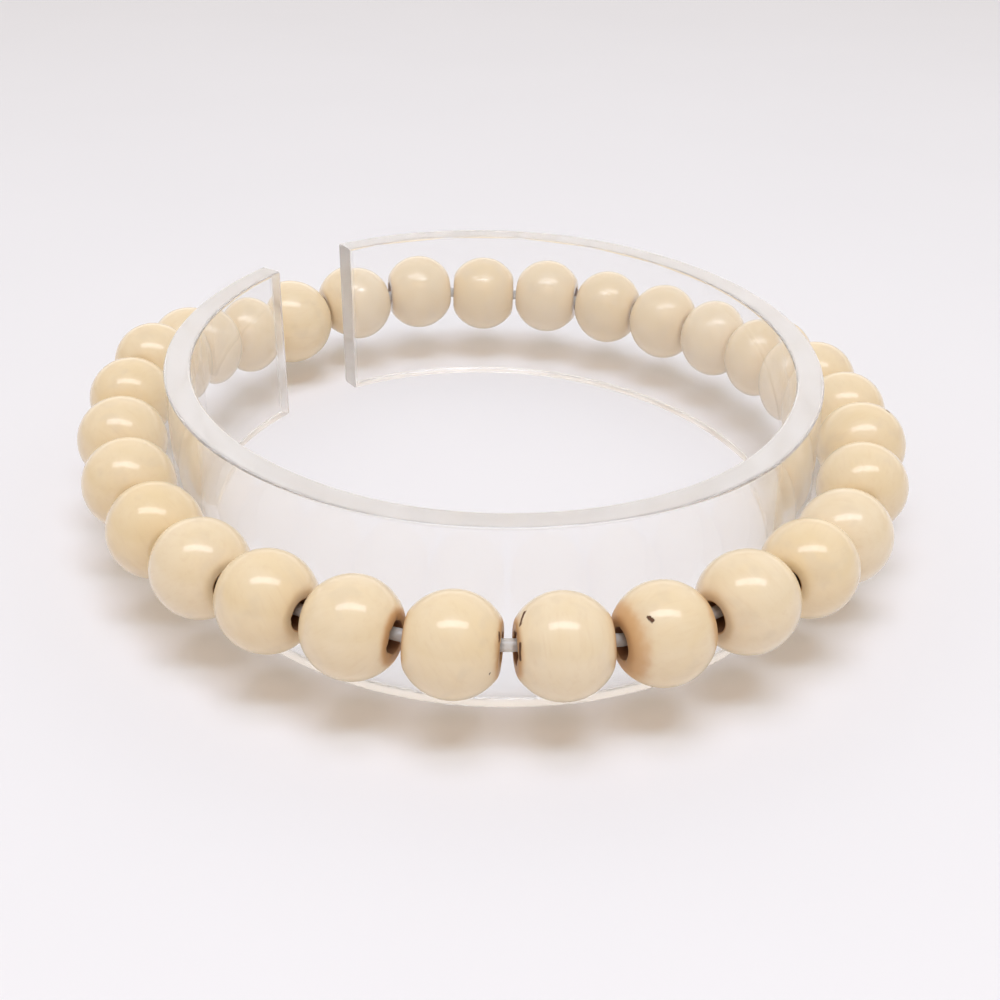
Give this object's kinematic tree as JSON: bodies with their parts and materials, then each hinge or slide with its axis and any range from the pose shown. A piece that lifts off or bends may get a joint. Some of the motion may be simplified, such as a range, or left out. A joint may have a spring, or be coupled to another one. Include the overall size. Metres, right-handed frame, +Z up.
{
  "type": "beaded bracelet on display ring",
  "caption": "Stretch bracelet of round lacquered wooden beads threaded on clear elastic, worn round a plain clear C-shaped display ring that stands on its edge.",
  "frame": {"origin": "middle of the oval display ring, on the surface that it stands on", "axes": "+Z up, along the ring's upright wall; -Y is the front, where the string has its widest gap; the ring's opening is at the back left (-X +Y)"},
  "size_m": [0.0756, 0.0819, 0.0163],
  "materials": {
    "lacquered_wood": "clear gloss lacquer on pale cream wood, with fine grain",
    "clear_elastic": "glossy, nearly clear elastic",
    "clear_acrylic": "polished clear moulded plastic"
  },
  "bodies": {
    "root": {"bead_01": "lacquered_wood", "bead_02": "lacquered_wood", "bead_03": "lacquered_wood", "bead_04": "lacquered_wood", "bead_05": "lacquered_wood", "bead_06": "lacquered_wood", "bead_07": "lacquered_wood", "bead_08": "lacquered_wood", "bead_09": "lacquered_wood", "bead_10": "lacquered_wood", "bead_11": "lacquered_wood", "bead_12": "lacquered_wood", "bead_13": "lacquered_wood", "bead_14": "lacquered_wood", "bead_15": "lacquered_wood", "bead_16": "lacquered_wood", "bead_17": "lacquered_wood", "bead_18": "lacquered_wood", "bead_19": "lacquered_wood", "bead_20": "lacquered_wood", "bead_21": "lacquered_wood", "bead_22": "lacquered_wood", "bead_23": "lacquered_wood", "bead_24": "lacquered_wood", "bead_25": "lacquered_wood", "bead_26": "lacquered_wood", "bead_27": "lacquered_wood", "bead_28": "lacquered_wood", "bead_29": "lacquered_wood", "elastic_cord": "clear_elastic", "display_ring": "clear_acrylic"}
  },
  "joints": []
}
